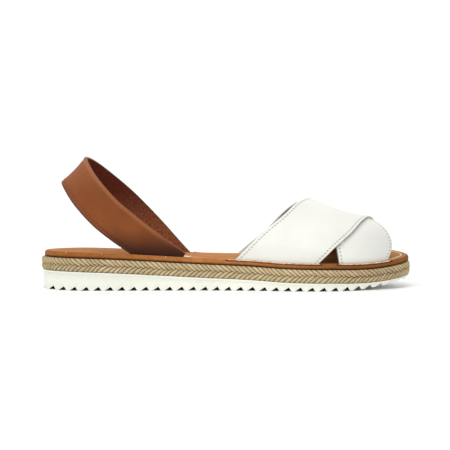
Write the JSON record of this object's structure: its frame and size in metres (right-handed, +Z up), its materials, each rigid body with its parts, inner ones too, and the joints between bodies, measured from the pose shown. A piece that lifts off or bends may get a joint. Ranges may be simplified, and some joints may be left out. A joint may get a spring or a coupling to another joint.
{
  "type": "avarca sandal",
  "caption": "Left slingback sandal with two crossed white leather straps, a tan heel strap, a leather insole, a braided jute midsole and a rippled white outsole.",
  "frame": {"origin": "on the floor under the middle of the sole's bounding box", "axes": "+X towards the toe, -Y towards the inner side of the foot, +Z up"},
  "size_m": [0.2518, 0.0902, 0.089],
  "materials": {
    "white_leather": "satin",
    "tan_leather": "satin",
    "insole_leather": "satin",
    "jute": "matte",
    "white_rubber": "matte"
  },
  "bodies": {
    "root": {"outsole": "white_rubber", "jute_midsole": "jute", "insole": "insole_leather", "vamp": "white_leather", "heel_strap": "tan_leather"}
  },
  "joints": []
}
